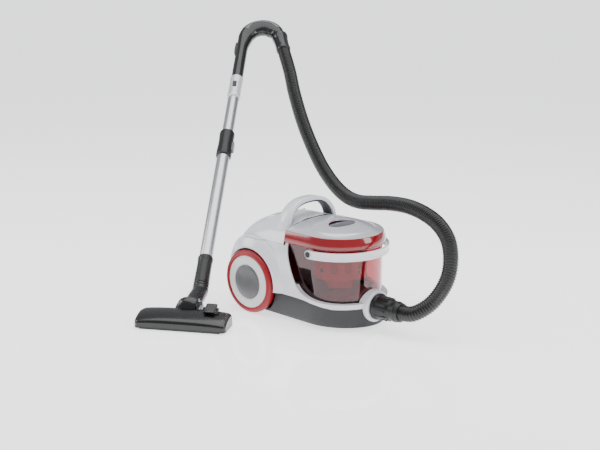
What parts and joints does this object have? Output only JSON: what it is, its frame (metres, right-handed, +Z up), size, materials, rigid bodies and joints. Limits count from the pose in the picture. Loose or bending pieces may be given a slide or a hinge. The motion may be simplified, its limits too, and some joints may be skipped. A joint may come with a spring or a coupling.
{
  "type": "canister vacuum cleaner",
  "caption": "Canister vacuum cleaner with a clear lift-out dust bin, rear wheels, ribbed hose, curved handle, telescopic wand and wide floor head.",
  "frame": {"origin": "on the floor, under the middle of the box that holds everything but the hose", "axes": "+X to the front of the canister, where the hose enters; +Y to its left side; +Z up"},
  "size_m": [1.0815, 0.8972, 0.6583],
  "materials": {
    "white": "gloss pearl white housing plastic",
    "silver": "satin silver painted plastic",
    "red": "gloss red plastic",
    "tyre_red": "soft satin red rubber",
    "dark_grey": "fine grained dark grey plastic",
    "mid_grey": "satin mid grey plastic",
    "grip_grey": "soft grey rubber",
    "black": "fine grained black plastic",
    "black_gloss": "gloss black plastic",
    "hose": "satin black ribbed plastic",
    "clear_smoke": "clear plastic with a light smoke tint",
    "red_clear": "deep red plastic seen through the cup",
    "lens": "gloss plum grey plastic",
    "steel": "bright turned steel",
    "aluminium": "satin anodised tube",
    "motor": "zinc plated motor can",
    "foam": "open foam",
    "filter": "pleated fibre",
    "bristle": "nylon bristles"
  },
  "bodies": {
    "canister": {"base_pan": "dark_grey", "body_shell": "white", "rear_cover": "white", "bulkhead": "dark_grey", "bin_deck": "dark_grey", "carry_handle": "white", "handle_grip": "grip_grey", "wheel_arches": "white", "wheel_axles": "steel", "inlet_ring": "white", "inlet_duct": "dark_grey", "motor_housing": "motor", "motor_mounts": "grip_grey", "motor_filter": "foam", "exhaust_filter": "filter", "exhaust_grille": "dark_grey", "reel_spindle": "dark_grey", "cord_outlet": "black", "pan_screws": "steel", "suction_hose": "hose", "curved_handle": "black_gloss", "handle_socket": "silver", "inner_tube": "aluminium"},
    "right_wheel": {"wheel_disc_right": "white", "tyre_right": "tyre_red", "hub_cap_right": "mid_grey"},
    "left_wheel": {"wheel_disc_left": "white", "tyre_left": "tyre_red", "hub_cap_left": "mid_grey"},
    "caster": {"caster_fork": "dark_grey", "caster_pin": "steel"},
    "caster_wheel": {"caster_wheel": "grip_grey"},
    "rotor": {"motor_shaft": "steel", "fan_impeller": "aluminium"},
    "cord_reel": {"reel_drum": "black"},
    "power_pedal": {"power_pedal": "silver"},
    "rewind_pedal": {"rewind_pedal": "silver"},
    "bin": {"dust_cup": "clear_smoke", "bail_pins": "black"},
    "bin_lid": {"lid_ring": "red", "lid_dome": "white", "cyclone_shroud": "red_clear", "cyclone_cone": "red_clear"},
    "lid_button": {"lid_button": "lens"},
    "bail": {"bail_handle": "white"},
    "connector": {"hose_connector": "black"},
    "connector_latch": {"connector_latch": "dark_grey"},
    "hose_swivel": {"swivel_cuff": "black_gloss"},
    "bleed_slider": {"bleed_slider": "mid_grey"},
    "socket_latch": {"socket_latch": "black"},
    "telescope": {"outer_tube": "aluminium", "adjuster_sleeve": "black", "neck_tube": "black"},
    "adjuster_button": {"adjuster_button": "mid_grey"},
    "elbow": {"elbow_duct": "black_gloss"},
    "floor_head": {"head_cover": "black_gloss", "sole_plate": "black"},
    "brush": {"brush_strip": "bristle"},
    "foot_pedal": {"foot_pedal": "black_gloss"},
    "rollers": {"head_rollers": "grip_grey"}
  },
  "joints": [
    {"name": "right_wheel_spin", "type": "hinge", "parent": "canister", "child": "right_wheel", "pos_m": [0.102, -0.166, 0.08], "axis": [0, 1, 0], "continuous": true},
    {"name": "left_wheel_spin", "type": "hinge", "parent": "canister", "child": "left_wheel", "pos_m": [0.102, 0.084, 0.08], "axis": [0, 1, 0], "continuous": true},
    {"name": "caster_swivel", "type": "hinge", "parent": "canister", "child": "caster", "pos_m": [0.324, -0.041, 0.04], "axis": [0, 0, 1], "continuous": true},
    {"name": "caster_roll", "type": "hinge", "parent": "caster", "child": "caster_wheel", "pos_m": [0.315, -0.041, 0.017], "axis": [0, 1, 0], "continuous": true},
    {"name": "rotor_spin", "type": "hinge", "parent": "canister", "child": "rotor", "pos_m": [0.112, 0.004, 0.102], "axis": [1, 0, 0], "continuous": true},
    {"name": "reel_spin", "type": "hinge", "parent": "canister", "child": "cord_reel", "pos_m": [0.088, -0.111, 0.092], "axis": [0, 1, 0], "continuous": true},
    {"name": "power_pedal_press", "type": "slide", "parent": "canister", "child": "power_pedal", "axis": [-0.2368, 0, 0.9715], "range_m": [-0.0035, 0], "stiffness_N_per_m": 1500},
    {"name": "rewind_pedal_press", "type": "slide", "parent": "canister", "child": "rewind_pedal", "axis": [-0.2368, 0, 0.9715], "range_m": [-0.0035, 0], "stiffness_N_per_m": 1500},
    {"name": "bin_lift", "type": "slide", "parent": "canister", "child": "bin", "axis": [0, 0, 1], "range_m": [0, 0.16]},
    {"name": "lid_lift", "type": "slide", "parent": "bin", "child": "bin_lid", "axis": [0, 0, 1], "range_m": [0, 0.025]},
    {"name": "lid_button_press", "type": "slide", "parent": "bin_lid", "child": "lid_button", "axis": [0, 0, 1], "range_m": [-0.003, 0], "stiffness_N_per_m": 800},
    {"name": "bail_swing", "type": "hinge", "parent": "bin", "child": "bail", "pos_m": [0.297, -0.041, 0.1845], "axis": [0, 1, 0], "range_deg": [-90, 0]},
    {"name": "connector_turn", "type": "hinge", "parent": "canister", "child": "connector", "pos_m": [0.422, -0.041, 0.056], "axis": [1, 0, 0], "continuous": true},
    {"name": "connector_latch_press", "type": "slide", "parent": "connector", "child": "connector_latch", "axis": [0, 0, 1], "range_m": [-0.002, 0], "stiffness_N_per_m": 800},
    {"name": "hose_swivel_turn", "type": "hinge", "parent": "canister", "child": "hose_swivel", "pos_m": [-0.3646, 0.40984, 0.59719], "axis": [0.7006, -0.4218, -0.5755], "continuous": true},
    {"name": "bleed_slide", "type": "slide", "parent": "canister", "child": "bleed_slider", "axis": [-0.4917, 0.6293, 0.6018], "range_m": [-0.01, 0.01]},
    {"name": "socket_latch_press", "type": "slide", "parent": "canister", "child": "socket_latch", "axis": [-0.3705, 0.4742, -0.7986], "range_m": [0, 0.002], "stiffness_N_per_m": 800},
    {"name": "wand_telescope", "type": "slide", "parent": "canister", "child": "telescope", "axis": [-0.4917, 0.6293, 0.6018], "range_m": [-0.2, 0.04]},
    {"name": "adjuster_press", "type": "slide", "parent": "telescope", "child": "adjuster_button", "axis": [-0.4917, 0.6293, 0.6018], "range_m": [0, 0.006], "stiffness_N_per_m": 800},
    {"name": "elbow_twist", "type": "hinge", "parent": "telescope", "child": "elbow", "pos_m": [-0.00438, -0.23943, 0.04453], "axis": [-0.4917, 0.6293, 0.6018], "range_deg": [-60, 60]},
    {"name": "head_pitch", "type": "hinge", "parent": "elbow", "child": "floor_head", "pos_m": [0.0408, -0.31036, 0.03], "axis": [0.8434, 0.5373, 0], "range_deg": [-45, 12]},
    {"name": "brush_drop", "type": "slide", "parent": "floor_head", "child": "brush", "axis": [0, 0, 1], "range_m": [-0.0035, 0]},
    {"name": "foot_pedal_tilt", "type": "hinge", "parent": "floor_head", "child": "foot_pedal", "pos_m": [0.06283, -0.34494, 0.043], "axis": [0.8434, 0.5373, 0], "range_deg": [-15, 0]},
    {"name": "roller_spin", "type": "hinge", "parent": "floor_head", "child": "rollers", "pos_m": [0.05746, -0.3365, 0.0065], "axis": [0.8434, 0.5373, 0], "continuous": true}
  ],
  "couplings": [
    {"joint": "brush_drop", "follows": "foot_pedal_tilt", "m_per_rad": 0.013369}
  ]
}
